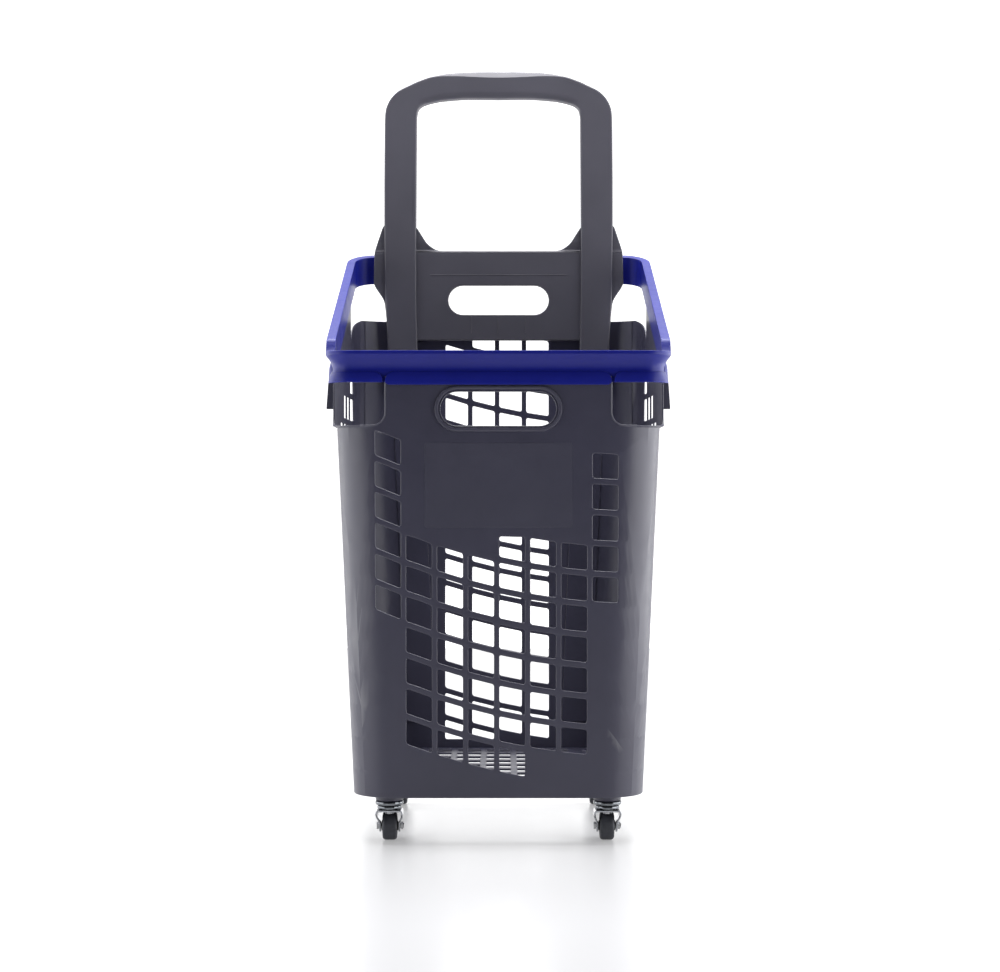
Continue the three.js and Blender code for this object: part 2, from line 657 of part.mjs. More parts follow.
function makeTyre() {
  const [inner, side, tread] = [HUB_RADIUS + 2 * GAP, WHEEL_WIDTH / 2, WHEEL_RADIUS];
  return turnedWheelPart([
    [inner, -side], [tread - 1.6, -side], [tread, 1.6 - side],
    [tread, side - 1.6], [tread - 1.6, side], [inner, side],
  ], TYRE_SEGMENTS);
}

function makeCaster({ name, x, y }) {
  const caster = new THREE.Group();
  const wheel = new THREE.Group();
  const title = `caster_${name}`;
  caster.add(
    mesh(`${title}_stem_bolt`, makeStem(), zincSteel),
    mesh(`${title}_washer`, makeWasher(), zincSteel),
    mesh(`${title}_upper_race`, makeRace(UPPER_RACE), chrome),
    mesh(`${title}_lower_race`, makeRace(LOWER_RACE), chrome),
    mesh(`${title}_fork`, makeFork(), chrome),
  );
  wheel.add(
    mesh(`${title}_axle_bolt`, makeAxle(), zincSteel),
    mesh(`${title}_axle_nut`, makeAxleNut(), zincSteel),
    mesh(`${title}_wheel_hub`, makeHub(), hubPlastic),
    mesh(`${title}_tyre`, makeTyre(), tyreRubber),
  );
  wheel.position.set(0, TRAIL, WHEEL_RADIUS);
  caster.add(wheel);
  caster.position.set(x, y, 0);
  return caster;
}

function makeScrews() {
  const sides = [{ name: 'left', side: -1 }, { name: 'right', side: 1 }];
  return sides.flatMap(({ name, side }) => [
    mesh(`handle_screw_upper_${name}`, makeScrew(side, UPPER_SCREW), zincSteel),
    mesh(`handle_screw_lower_${name}`, makeScrew(side, LOWER_SCREW), zincSteel),
  ]);
}

const group = new THREE.Group();
group.add(
  mesh('tub', makeTub(), tubPlastic),
  mesh('rim_frame', makeRimFrame(), rimPlastic),
  mesh('push_handle', makePushHandle(), tubPlastic),
  ...makeScrews(),
  ...casterPlaces().map(makeCaster),
);

export default group;
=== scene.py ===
"""Tall rolling shopping basket: fine meshes, materials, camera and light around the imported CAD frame.

Shapes are worked out in millimetres, in the CAD frame, and become metres when their mesh is made.
"""

import math

import bmesh
import bpy
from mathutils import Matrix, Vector


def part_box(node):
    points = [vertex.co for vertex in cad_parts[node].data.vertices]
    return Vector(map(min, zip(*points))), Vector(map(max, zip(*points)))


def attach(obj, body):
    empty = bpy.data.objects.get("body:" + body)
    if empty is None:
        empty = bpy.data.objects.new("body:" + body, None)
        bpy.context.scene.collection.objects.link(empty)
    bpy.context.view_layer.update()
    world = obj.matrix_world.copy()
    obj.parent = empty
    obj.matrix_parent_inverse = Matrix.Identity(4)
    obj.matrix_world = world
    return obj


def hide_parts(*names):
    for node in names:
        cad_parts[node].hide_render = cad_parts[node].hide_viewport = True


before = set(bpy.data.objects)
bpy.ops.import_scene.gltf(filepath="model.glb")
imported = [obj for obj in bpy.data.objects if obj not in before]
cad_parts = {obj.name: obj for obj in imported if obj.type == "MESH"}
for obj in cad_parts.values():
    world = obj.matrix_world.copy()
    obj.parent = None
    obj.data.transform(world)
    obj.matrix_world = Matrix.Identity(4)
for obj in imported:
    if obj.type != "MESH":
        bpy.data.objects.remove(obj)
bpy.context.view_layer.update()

MM = 0.001

# Tub.
DRAFT = 0.0435
TUB_BOTTOM = 58
TUB_HALF_WIDTH = 178.8
TUB_FRONT = -191.5
TUB_REAR = 186
CORNER = 56
WALL = 3
FLOOR_TOP = 74
REAR_TOP = 667
LEDGE = 510.5
LEDGE_RISE = 2.5
COLLAR_HALF_WIDTH = 203.8
WINDOW_INNER = 136.5
SIDE_WALL = 2.2
SIDE_FIRST = -80
SIDE_PITCH = 58
SIDE_CELL = 51.4
SIDE_REAR_END = 166
WINDOW_ROUND = 16
SIDE_PANEL_FRONT = -150
SIDE_PANEL_REAR = 140

# A wall sheet is laid out flat between the 45 degree lines of its two corners.
SEAM_IN = CORNER * (1 - math.sqrt(0.5))
KNEE = 95
FRONT_SEAM = 162.4
SIDE_SEAM = 172

# Rim frame.
RIM_HALF_WIDTH = 210
RIM_HALF_DEPTH = 220
RIM_CORNER = 33
RIM_REAR_CORNER = 38
RIM_HEIGHT = 38
RIM_BOTTOM = 562
RIM_SLOPE = 161 / 440
RIM_WIDTH = 11.5
RIM_LIP = 33
RIM_FOOT = 3
RIM_FOOT_INSET = 3.5
RIM_WAIST = 8.5
TONGUE = 4.5
NOTCH_X = 138
RAMP = [(-186, 0.5), (-184, 2.5), (-181, 7.5), (-178, 12.7), (-176, 15.2), (-173, 17.2)]

# Side skirts.
SKIRT_FRONT = -140
SKIRT_REAR = 130
SKIRT_DROP = 60
SKIRT_RIBS = (-140, -51, 39, 128)

# Lattice.
CELL_PITCH = 37.3
CELL_HEIGHT = 29.7
COLUMN_PITCH = 37.55
CELL_WIDTH = 31
CELL_ROUND = 3
FIRST_COLUMN = -149
BEND_CENTRE = 173
BEND_SIZE = 1534
FRONT_ROWS = [(-3, 2), (0, 6), (0, 6), (0, 6), (-1, 6), (-1, 5), (-1, 5), (-4, 0)]
SIDE_ROWS = [(2, 11), (1, 11), (0, 11), (0, 11), (-1, 2)]
SLOT_Z = 530
HANDLE_SLOT_Z = 696
SLOT = (140, 41)

# Floor grate.
GRATE_COLUMNS = 7
GRATE_ROWS = 8
GRATE_PITCH = (40, 41)
GRATE_CELL = (32, 28)
GRATE_CENTRE = 12

# Casters.
TRAIL = 13
AXLE_Z = 17.5


# ---------------------------------------------------------------- mesh helpers


def new_object(name, mesh):
    piece = bpy.data.objects.new(name, mesh)
    bpy.context.scene.collection.objects.link(piece)
    return piece


def mesh_object(name, points, faces):
    mesh = bpy.data.meshes.new(name)
    mesh.from_pydata([[c * MM for c in p] for p in points], [], faces)
    return new_object(name, mesh)


def finish_piece(piece, material, node, body, sharp=32, weighted=True):
    """Sets a piece's shading and material, puts it on its body, and hides the CAD node it stands for."""
    mesh = piece.data
    work = bmesh.new()
    work.from_mesh(mesh)
    bmesh.ops.remove_doubles(work, verts=work.verts, dist=2e-6)
    bmesh.ops.recalc_face_normals(work, faces=work.faces)
    work.to_mesh(mesh)
    work.free()
    mesh.materials.clear()
    mesh.materials.append(material)
    mesh.polygons.foreach_set("use_smooth", [True] * len(mesh.polygons))
    mesh.set_sharp_from_angle(angle=math.radians(sharp))
    if weighted:
        normals = piece.modifiers.new("weighted", "WEIGHTED_NORMAL")
        normals.keep_sharp = True
        normals.weight = 90
    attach(piece, body)
    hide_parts(node)
    return piece


def join(name, pieces):
    """One object from several, with their meshes put together."""
    work = bmesh.new()
    for piece in pieces:
        work.from_mesh(piece.data)
        bpy.data.objects.remove(piece)
    mesh = bpy.data.meshes.new(name)
    work.to_mesh(mesh)
    work.free()
    return new_object(name, mesh)


def rounded(points, radius, steps=4):
    """A closed outline with each corner turned into an arc of about that radius."""
    made = []
    for i, here in enumerate(points):
        before = Vector(points[i - 1]) - Vector(here)
        after = Vector(points[(i + 1) % len(points)]) - Vector(here)
        cut = min(radius, before.length * 0.48, after.length * 0.48)
        first, last = Vector(here) + before.normalized() * cut, Vector(here) + after.normalized() * cut
        for k in range(steps + 1):
            t = k / steps
            made.append(tuple(first * (1 - t) ** 2 + Vector(here) * 2 * t * (1 - t) + last * t * t))
    return made


def stadium(width, height, middle, steps=14):
    radius = height / 2
    points = []
    for side in (1, -1):
        for k in range(steps + 1):
            angle = math.pi * (k / steps - 0.5)
            x = side * (width / 2 - radius + radius * math.cos(angle))
            points.append((x, middle + side * radius * math.sin(angle)))
    return points


def smooth_line(points, steps=6):
    """An open line through the points, rounded between them (Catmull-Rom)."""
    ends = [points[0], *points, points[-1]]
    made = []
    for a, b, c, d in zip(ends, ends[1:], ends[2:], ends[3:]):
        for k in range(steps):
            t = k / steps
            made.append(tuple(
                0.5 * (
                    2 * q
                    + (r - p) * t
                    + (2 * p - 5 * q + 4 * r - s) * t * t
                    + (3 * q - p - 3 * r + s) * t ** 3
                )
                for p, q, r, s in zip(a, b, c, d)
            ))
    return [*made, points[-1]]


def plate(name, outlines, thickness, bevel, resolution=2):
    """A flat plate in X and Y from an outline and its holes, with rolled edges, from 0 to thickness in Z."""
    curve = bpy.data.curves.new(name, "CURVE")
    curve.dimensions = "2D"
    curve.fill_mode = "BOTH"
    curve.extrude = (thickness / 2 - bevel) * MM
    curve.bevel_depth = bevel * MM
    curve.bevel_resolution = resolution
    curve.offset = -bevel * MM
    for outline in outlines:
        spline = curve.splines.new("POLY")
        spline.points.add(len(outline) - 1)
        for point, (x, y) in zip(spline.points, outline):
            point.co = (x * MM, y * MM, 0, 1)
        spline.use_cyclic_u = True
    holder = new_object(name + "_curve", curve)
    bpy.context.view_layer.update()
    mesh = bpy.data.meshes.new_from_object(holder.evaluated_get(bpy.context.evaluated_depsgraph_get()))
    bpy.data.objects.remove(holder)
    work = bmesh.new()
    work.from_mesh(mesh)
    bmesh.ops.remove_doubles(work, verts=work.verts, dist=1e-6)
    bmesh.ops.translate(work, verts=work.verts, vec=(0, 0, thickness * MM / 2))
    work.to_mesh(mesh)
    work.free()
    return new_object(name, mesh)


def cut(piece, axis, places, trim=0):
    """Cuts a mesh across at each place along an axis. trim 1 drops what lies above, -1 what lies below."""
    work = bmesh.new()
    work.from_mesh(piece.data)
    normal = [0, 0, 0]
    normal[axis] = 1
    for place in places:
        point = [0, 0, 0]
        point[axis] = place * MM
        everything = work.verts[:] + work.edges[:] + work.faces[:]
        bmesh.ops.bisect_plane(
            work, geom=everything, plane_co=point, plane_no=normal, dist=1e-7,
            clear_outer=trim > 0, clear_inner=trim < 0,
        )
    work.to_mesh(piece.data)
    work.free()


def place_points(piece, rule):
    """Moves each vertex by a rule from and to millimetres."""
    for vertex in piece.data.vertices:
        x, y, z = (c / MM for c in vertex.co)
        vertex.co = [c * MM for c in rule(x, y, z)]


def turned(name, profile, segments, axis="Z", centre=(0, 0, 0)):
    """A body turned about an axis through centre from (radius, along) pairs round a closed section."""
    points, faces = [], []
    count = len(profile)
    for i in range(segments):
        angle = 2 * math.pi * (i + 0.5) / segments
        for radius, along in profile:
            a, b = radius * math.cos(angle), radius * math.sin(angle)
            local = {"X": (along, a, b), "Y": (a, along, b), "Z": (a, b, along)}[axis]
            points.append([p + c for p, c in zip(local, centre)])
    for i in range(segments):
        j = (i + 1) % segments
        for k in range(count):
            m = (k + 1) % count
            faces.append((i * count + k, j * count + k, j * count + m, i * count + m))
    return mesh_object(name, points, faces)


def swept_loop(name, stations, profile_at):
    """A closed tube: each station gives its own ring of points through profile_at(station)."""
    rings = [profile_at(station) for station in stations]
    size = len(rings[0])
    points = [p for ring in rings for p in ring]
    faces = []
    for i in range(len(rings)):
        j = (i + 1) % len(rings)
        for k in range(size):
            m = (k + 1) % size
            faces.append((i * size + k, j * size + k, j * size + m, i * size + m))
    return mesh_object(name, points, faces)


# ---------------------------------------------------------------- materials


def noise(nodes, links, coordinates, scale, detail=4.0, rough=0.55):
    texture = nodes.new("ShaderNodeTexNoise")
    texture.inputs["Scale"].default_value = scale
    texture.inputs["Detail"].default_value = detail
    texture.inputs["Roughness"].default_value = rough
    links.new(coordinates, texture.inputs["Vector"])
    return texture.outputs["Fac"]


def spread(nodes, links, value, low, high, start=0.3, stop=0.7):
    """Maps a noise value onto a range of numbers."""
    ranged = nodes.new("ShaderNodeMapRange")
    for key, number in (("From Min", start), ("From Max", stop), ("To Min", low), ("To Max", high)):
        ranged.inputs[key].default_value = number
    links.new(value, ranged.inputs["Value"])
    return ranged.outputs["Result"]


def blend_colour(nodes, links, factor, dark, light):
    mix = nodes.new("ShaderNodeMix")
    mix.data_type = "RGBA"
    mix.inputs["A"].default_value = (*dark, 1)
    mix.inputs["B"].default_value = (*light, 1)
    links.new(factor, mix.inputs["Factor"])
    return mix.outputs["Result"]


def patchy_colour(nodes, links, shader, patch, dark, light):
    """Colours a shader from dark to light over a noise."""
    share = spread(nodes, links, patch, 0, 1)
    links.new(blend_colour(nodes, links, share, dark, light), shader.inputs["Base Color"])


def start_material(name):
    material = bpy.data.materials.new(name)
    material.use_nodes = True
    nodes, links = material.node_tree.nodes, material.node_tree.links
    shader = nodes["Principled BSDF"]
    coordinates = nodes.new("ShaderNodeTexCoord").outputs["Object"]
    return material, nodes, links, shader, coordinates


def add_bump(nodes, links, shader, heights):
    """Chains bumps: pairs of a height value and a distance in metres."""
    last = None
    for height, distance in heights:
        bump = nodes.new("ShaderNodeBump")
        bump.inputs["Strength"].default_value = 1
        bump.inputs["Distance"].default_value = distance
        links.new(height, bump.inputs["Height"])
        if last is not None:
            links.new(last, bump.inputs["Normal"])
        last = bump.outputs["Normal"]
    links.new(last, shader.inputs["Normal"])


def moulded_plastic(name, dark, light, edge_highlight, roughness, grain, ripple, gloss=0.5):
    """Injection-moulded plastic: fine grain, slow sink ripples, cloudy gloss, and convex edges painted paler
    as a painted highlight.
    """
    material, nodes, links, shader, coordinates = start_material(name)
    cloud = noise(nodes, links, coordinates, 9, 3)
    speck = noise(nodes, links, coordinates, 1500, 2)
    scuff = noise(nodes, links, coordinates, 60, 8, 0.7)
    body = blend_colour(nodes, links, spread(nodes, links, cloud, 0, 1), dark, light)
    # Pointiness paints convex edges paler: a painted highlight on the edges, where they would catch the
    # light.
    edge = nodes.new("ShaderNodeNewGeometry").outputs["Pointiness"]
    edge_highlight_share = spread(nodes, links, edge, 0, 0.55, 0.52, 0.62)
    mix = nodes.new("ShaderNodeMix")
    mix.data_type = "RGBA"
    mix.inputs["B"].default_value = (*edge_highlight, 1)
    links.new(edge_highlight_share, mix.inputs["Factor"])
    links.new(body, mix.inputs["A"])
    links.new(mix.outputs["Result"], shader.inputs["Base Color"])
    links.new(spread(nodes, links, scuff, roughness[0], roughness[1]), shader.inputs["Roughness"])
    add_bump(nodes, links, shader, [(speck, grain), (noise(nodes, links, coordinates, 14, 1), ripple)])
    shader.inputs["IOR"].default_value = 1.49
    shader.inputs["Specular IOR Level"].default_value = gloss
    return material


def metal(name, dark, light, roughness, bump):
    """Plated steel: fine plating pits, soft waves and patchy polish."""
    material, nodes, links, shader, coordinates = start_material(name)
    patch = noise(nodes, links, coordinates, 220, 5)
    pits = noise(nodes, links, coordinates, 2200, 3)
    patchy_colour(nodes, links, shader, patch, dark, light)
    links.new(spread(nodes, links, patch, roughness[0], roughness[1]), shader.inputs["Roughness"])
    add_bump(nodes, links, shader, [(pits, bump), (noise(nodes, links, coordinates, 150, 1), bump * 6)])
    shader.inputs["Metallic"].default_value = 1
    return material


def rubber(name, dark, light, roughness):
    """Tyre rubber: dusty patches over a coarse, slightly scratched skin."""
    material, nodes, links, shader, coordinates = start_material(name)
    dust = noise(nodes, links, coordinates, 130, 8, 0.7)
    skin = noise(nodes, links, coordinates, 1800, 4)
    patchy_colour(nodes, links, shader, dust, dark, light)
    links.new(spread(nodes, links, dust, roughness[0], roughness[1]), shader.inputs["Roughness"])
    add_bump(nodes, links, shader, [(skin, 0.00012), (dust, 0.0001)])
    return material


# The tub uses the handle's plastic painted about half as dark: painted shade standing in for the dim light on
# the tub's walls.
SHADED_TUB_PLASTIC = moulded_plastic(
    "tub_plastic", dark=(0.037, 0.036, 0.060), light=(0.043, 0.042, 0.069), edge_highlight=(0.13, 0.13, 0.15),
    roughness=(0.30, 0.40), grain=0.00003, ripple=0.0004,
)
HANDLE_PLASTIC = moulded_plastic(
    "handle_plastic", dark=(0.064, 0.062, 0.080), light=(0.074, 0.072, 0.093), edge_highlight=(0.14, 0.14, 0.15),
    roughness=(0.42, 0.55), grain=0.00008, ripple=0.0003,
)
RIM_PLASTIC = moulded_plastic(
    "rim_plastic", dark=(0.006, 0.010, 0.175), light=(0.008, 0.012, 0.205), edge_highlight=(0.03, 0.04, 0.36),
    roughness=(0.30, 0.40), grain=0.00003, ripple=0.0002, gloss=0.3,
)
# The races use a darker copy of the fork's plated steel: a painted dark reflection of the tub's underside.
DARKENED_RACE_STEEL = metal("race_steel_painted_reflection", (0.13, 0.14, 0.15), (0.24, 0.25, 0.27), (0.05, 0.14), 0.00001)
CHROME = metal("chrome_steel", (0.30, 0.31, 0.33), (0.48, 0.49, 0.52), (0.05, 0.14), 0.00001)
ZINC = metal("zinc_steel", (0.36, 0.37, 0.38), (0.50, 0.50, 0.51), (0.22, 0.38), 0.00003)
TYRE = rubber("tyre_rubber", (0.026, 0.028, 0.036), (0.050, 0.053, 0.066), (0.45, 0.75))
HUB = moulded_plastic(
    "hub_plastic", dark=(0.008, 0.008, 0.009), light=(0.014, 0.014, 0.016), edge_highlight=(0.05, 0.05, 0.05),
    roughness=(0.35, 0.55), grain=0.00006, ripple=0.0001,
)


# ---------------------------------------------------------------- tub walls


def clamp(value):
    return max(0.0, min(1.0, value))


def half_width(z, deep):
    """Half the tub's width at a height, stepping out to the collar over the ledge."""
    lower = TUB_HALF_WIDTH + DRAFT * (z - TUB_BOTTOM)
    step = clamp((z - LEDGE + LEDGE_RISE - LEDGE_RISE * deep / WALL) / LEDGE_RISE)
    return lower + (COLLAR_HALF_WIDTH - lower) * step


def front_y(z):
    return TUB_FRONT - DRAFT * (z - TUB_BOTTOM)


def rear_y(z):
    return TUB_REAR + DRAFT * (z - TUB_BOTTOM)


def knee_out(place, seam, flat_seam):
    """From the real coordinate along a wall to the flat one, which is the same up to the knee."""
    if abs(place) <= KNEE:
        return place
    return math.copysign(KNEE + (abs(place) - KNEE) * (flat_seam - KNEE) / (seam - KNEE), place)


def knee_in(place, seam, flat_seam):
    """From the flat coordinate back to the real one."""
    if abs(place) <= KNEE:
        return place
    return math.copysign(KNEE + (abs(place) - KNEE) * (seam - KNEE) / (flat_seam - KNEE), place)


def round_end(along, half_flat):
    """How far a wall has turned away at a place past its flat, and its normal there (along, out)."""
    past = abs(along) - half_flat
    if past <= 0:
        return 0.0, (0.0, 1.0)
    turn = math.asin(min(past / CORNER, 1))
    return CORNER * (1 - math.cos(turn)), (math.copysign(math.sin(turn), along), math.cos(turn))


def end_wall_point(flat, z, deep, rear):
    """A point of the front or rear wall: flat coordinate along X, height, and depth below the outer face."""
    half = half_width(z, deep)
    x = knee_in(flat, half - SEAM_IN, FRONT_SEAM)
    back, (nx, ny) = round_end(x, half - CORNER)
    if rear:
        return x - nx * deep, rear_y(z) - back - ny * deep, z
    return x - nx * deep, front_y(z) + back + ny * deep, z


def side_limits(z, y):
    """The seam of a side wall at this height on the side of y, from the part's middle."""
    return abs(front_y(z) if y < 0 else rear_y(z)) - SEAM_IN


def side_wall_point(flat, z, deep, side):
    half = half_width(z, deep)
    y = knee_in(flat, side_limits(z, flat), SIDE_SEAM)
    flat_half = side_limits(z, y) + SEAM_IN - CORNER
    back, (ny, nx) = round_end(y, flat_half)
    deep *= SIDE_WALL / WALL
    return side * (half - back - nx * deep), y - ny * deep, z


def flat_end(points):
    return [(knee_out(x, half_width(z, 0) - SEAM_IN, FRONT_SEAM), z) for x, z in points]


def flat_side(points):
    return [(knee_out(y, side_limits(z, y), SIDE_SEAM), z) for y, z in points]


def row_top(x, zero, row):
    return zero + (BEND_CENTRE - x) ** 2 / BEND_SIZE - CELL_PITCH * row


def leaning_cell(left, zero, row, ceiling, floor):
    right = left + CELL_WIDTH
    tops = [min(row_top(x, zero, row), ceiling) for x in (left, right)]
    bottoms = [max(row_top(x, zero, row) - CELL_HEIGHT, floor) for x in (left, right)]
    corners = [(left, bottoms[0]), (right, bottoms[1]), (right, tops[1]), (left, tops[0])]
    return flat_end(rounded(corners, CELL_ROUND))


def front_cells():
    cells = []
    for column, (first, last) in enumerate(FRONT_ROWS):
        ceiling = 376 if column == 4 else 900
        for row in range(first, last + 1):
            cells.append(leaning_cell(FIRST_COLUMN + COLUMN_PITCH * column, 325, row, ceiling, 0))
    return cells


def rear_cells():
    cells = []
    for column in range(2, 6):
        left = FIRST_COLUMN + COLUMN_PITCH * column
        for row in range(-8, 8):
            top = row_top(left, 333.8, row)
            if top - CELL_HEIGHT < 640 and top > 98:
                cells.append(leaning_cell(left, 333.8, row, 648, 86))
    return cells


def side_cells():
    cells = []
    for column, (first, last) in enumerate(SIDE_ROWS):
        middle = SIDE_FIRST + SIDE_PITCH * column
        for row in range(first, last + 1):
            top = 556 - CELL_PITCH * row
            near, far = middle - SIDE_CELL / 2, min(middle + SIDE_CELL / 2, SIDE_REAR_END)
            corners = [(near, top - CELL_HEIGHT), (far, top - CELL_HEIGHT), (far, top), (near, top)]
            cells.append(flat_side(rounded(corners, CELL_ROUND)))
    return cells


def rim_line(y):
    """Height of the rim frame's underside at a depth: level, then a short ramp, then a long slope."""
    if y >= RAMP[-1][0]:
        return RIM_BOTTOM + RIM_SLOPE * (y + RIM_HALF_DEPTH)
    for (y0, z0), (y1, z1) in zip(RAMP, RAMP[1:]):
        if y0 <= y < y1:
            return RIM_BOTTOM + z0 + (z1 - z0) * (y - y0) / (y1 - y0)
    return RIM_BOTTOM


def quarter(x, z, start, radius=WINDOW_ROUND, steps=8, turn=-1):
    """A quarter circle about a point from an angle in degrees: turn 1 goes on anticlockwise, -1 clockwise."""
    angles = [math.radians(start + turn * 90 * k / steps) for k in range(steps + 1)]
    return [(x + radius * math.cos(a), z + radius * math.sin(a)) for a in angles]


# How far a wall's outline runs past its seam before it is trimmed.
OVER = 12


def front_outline():
    top = RIM_BOTTOM + TONGUE + 3
    edge = half_width(LEDGE, 0) - SEAM_IN + OVER
    window = quarter(WINDOW_INNER + WINDOW_ROUND, LEDGE + WINDOW_ROUND, 270)
    right = [(edge - 8, TUB_BOTTOM), (edge, LEDGE), *window, (WINDOW_INNER, top)]
    return flat_end([*right, *[(-x, z) for x, z in reversed(right)]])


def rear_outline():
    edge = COLLAR_HALF_WIDTH - SEAM_IN + OVER
    notch = [(84, TUB_BOTTOM + 9), (92, TUB_BOTTOM)]
    right = [*notch, (edge - 8, TUB_BOTTOM), (edge, REAR_TOP)]
    return flat_end([*right, *[(-x, z) for x, z in reversed(right)]])


def side_outline():
    front_window = quarter(SIDE_PANEL_FRONT - WINDOW_ROUND, LEDGE + WINDOW_ROUND, 0)
    dip = smooth_line([
        (SIDE_PANEL_REAR + 0.01, 650), (SIDE_PANEL_REAR + 2, 640), (SIDE_PANEL_REAR + 10, 640),
        (SIDE_PANEL_REAR + 32, 658), (SIDE_PANEL_REAR + 52, REAR_TOP),
    ], 4)
    return flat_side([
        (TUB_FRONT - OVER, TUB_BOTTOM), (TUB_REAR + OVER, TUB_BOTTOM), (TUB_REAR + OVER + 30, REAR_TOP),
        *reversed(dip),
        (SIDE_PANEL_REAR, rim_line(SIDE_PANEL_REAR) + TONGUE),
        (SIDE_PANEL_FRONT, rim_line(SIDE_PANEL_FRONT) + TONGUE),
        *front_window, (TUB_FRONT - OVER - 24, LEDGE),
    ])


# Where walls are cut across, so that they can follow the step over the ledge.
HEIGHT_CUTS = [90, 130, 170, 210, 250, 290, 330, 370, 410, 450, 480, 508, 510.5, 513, 540, 570, 610, 650]


def wall_sheet(name, outline, cells, seam, rule):
    """One wall: a rolled-edge plate with its cells, trimmed at its seams and bent into place."""
    sheet = plate(name, [outline, *cells], WALL, 1.1)
    turns = [KNEE + (seam - KNEE) * k / 12 for k in range(13)]
    cut(sheet, 0, [-t for t in turns[:-1]] + turns[:-1])
    cut(sheet, 0, [seam], 1)
    cut(sheet, 0, [-seam], -1)
    cut(sheet, 1, HEIGHT_CUTS)
    place_points(sheet, rule)
    return sheet


def make_tub_walls():
    slot = stadium(SLOT[0] + 1, SLOT[1] + 1, SLOT_Z)
    sides = [
        wall_sheet(
            "side", side_outline(), side_cells(), SIDE_SEAM,
            lambda y, z, w, side=side: side_wall_point(y, z, w, side),
        )
        for side in (1, -1)
    ]
    walls = join("tub_walls", [
        wall_sheet("front", front_outline(), [*front_cells(), slot], FRONT_SEAM,
                   lambda x, z, w: end_wall_point(x, z, w, False)),
        wall_sheet("rear", rear_outline(), rear_cells(), FRONT_SEAM,
                   lambda x, z, w: end_wall_point(x, z, w, True)),
        *sides,
    ])
    return finish_piece(walls, SHADED_TUB_PLASTIC, "tub", "root")


def rounded_rectangle(half_x, y0, y1, radius, steps=10):
    points = []
    corners = [(half_x, y0, -90), (half_x, y1, 0), (-half_x, y1, 90), (-half_x, y0, 180)]
    for x, y, start in corners:
        cx, cy = x - math.copysign(radius, x), y - radius if y == y1 else y + radius
        for k in range(steps + 1):
            angle = math.radians(start + 90 * k / steps)
            points.append((cx + radius * math.cos(angle), cy + radius * math.sin(angle)))
    return points


def caster_places():
    """The four casters with their stem axes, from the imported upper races."""
    places = {}
    for corner in ("front_left", "front_right", "rear_left", "rear_right"):
        low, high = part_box(f"caster_{corner}_upper_race")
        middle = (low + high) / 2 / MM
        places[corner] = (middle.x, middle.y)
    return places


def grate_cells(places):
    """The floor grate's cells, leaving the floor whole round each caster boss."""
    cells = []
    for i in range(GRATE_COLUMNS):
        for j in range(GRATE_ROWS):
            x = (i - (GRATE_COLUMNS - 1) / 2) * GRATE_PITCH[0]
            y = GRATE_CENTRE + (j - (GRATE_ROWS - 1) / 2) * GRATE_PITCH[1]
            if any(abs(px - x) < 30 and abs(py - y) < 32 for px, py in places):
                continue
            wide, deep = GRATE_CELL[0] / 2, GRATE_CELL[1] / 2
            corners = [(x - wide, y - deep), (x + wide, y - deep), (x + wide, y + deep), (x - wide, y + deep)]
            cells.append(rounded(corners, 2.5, 3))
    return cells


def make_tub_floor():
    low = FLOOR_TOP - TUB_BOTTOM
    half = TUB_HALF_WIDTH + DRAFT * low - 2
    outline = rounded_rectangle(half, front_y(FLOOR_TOP) + 2, rear_y(FLOOR_TOP) - 2, CORNER - 2)
    places = list(caster_places().values())
    floor = plate("floor", [outline, *grate_cells(places)], 3, 0.8)
    place_points(floor, lambda x, y, z: (x, y, z + FLOOR_TOP - 3))
    section = [
        (4.4, 51), (16, 51), (17, 52), (17, 68), (19.5, 71.5), (19.5, 74.8),
        (18.6, 75.8), (17.4, 76.2), (16.6, 75.6), (16, 74.1), (4.4, 74.1),
    ]
    bosses = [turned("boss", section, 40, "Z", (x, y, 0)) for x, y in places]
    return finish_piece(join("tub_floor", [floor, *bosses]), SHADED_TUB_PLASTIC, "tub", "root")


def make_slot_rim():
    """The raised ring round the front hand slot: a rolled outer bead, a groove and a thin inner lip."""
    section = [
        (0, -WALL), (0, 0.9), (0.35, 1.4), (0.9, 1.4), (1.3, 1.0), (1.9, 0.9), (2.4, 1.4), (2.9, 2.5),
        (3.8, 3.0), (5.4, 3.0), (6.3, 2.6), (6.9, 1.6), (7.2, 0.2), (7.2, -1), (1, -WALL),
    ]
    path = stadium(*SLOT, SLOT_Z, 20)

    def ring(index):
        x, z = path[index]
        centre = math.copysign(SLOT[0] / 2 - SLOT[1] / 2, x)
        out = Vector((x - centre, z - SLOT_Z)).normalized()
        points = []
        for offset, proud in section:
            px, pz = x + out.x * offset, z + out.y * offset
            points.append((px, front_y(pz) - proud, pz))
        return points

    rim = swept_loop("front_slot_rim", range(len(path)), ring)
    return finish_piece(rim, SHADED_TUB_PLASTIC, "tub", "root")


def make_sign_panel():
    """The smooth card panel on the front wall, a quarter of a millimetre proud."""
    outline = rounded([(-89, 387), (89, 387), (89, 489), (-89, 489)], 3)
    panel = plate("sign_panel", [outline], 0.6, 0.2, 1)
    place_points(panel, lambda x, z, w: (x, front_y(z) - 0.25 + w, z))
    return finish_piece(panel, SHADED_TUB_PLASTIC, "tub", "root")


def make_leg_bands():
    """Two raised bands down the inside of the rear wall, in line with the handle's legs."""
    bands = []
    for side in (1, -1):
        corners = [(128, 110), (150.4, 556), (109.4, 556), (87.6, 110)]
        outline = flat_end(rounded([(side * x, z) for x, z in corners], 4))
        band = plate("band", [outline], 2.4, 0.7)
        cut(band, 0, [s * (KNEE + 5.6 * k) for k in range(13) for s in (1, -1)])
        cut(band, 1, HEIGHT_CUTS)
        place_points(band, lambda x, z, w: end_wall_point(x, z, WALL + 1.6 - w, True))
        bands.append(band)
    return finish_piece(join("leg_bands", bands), SHADED_TUB_PLASTIC, "tub", "root")


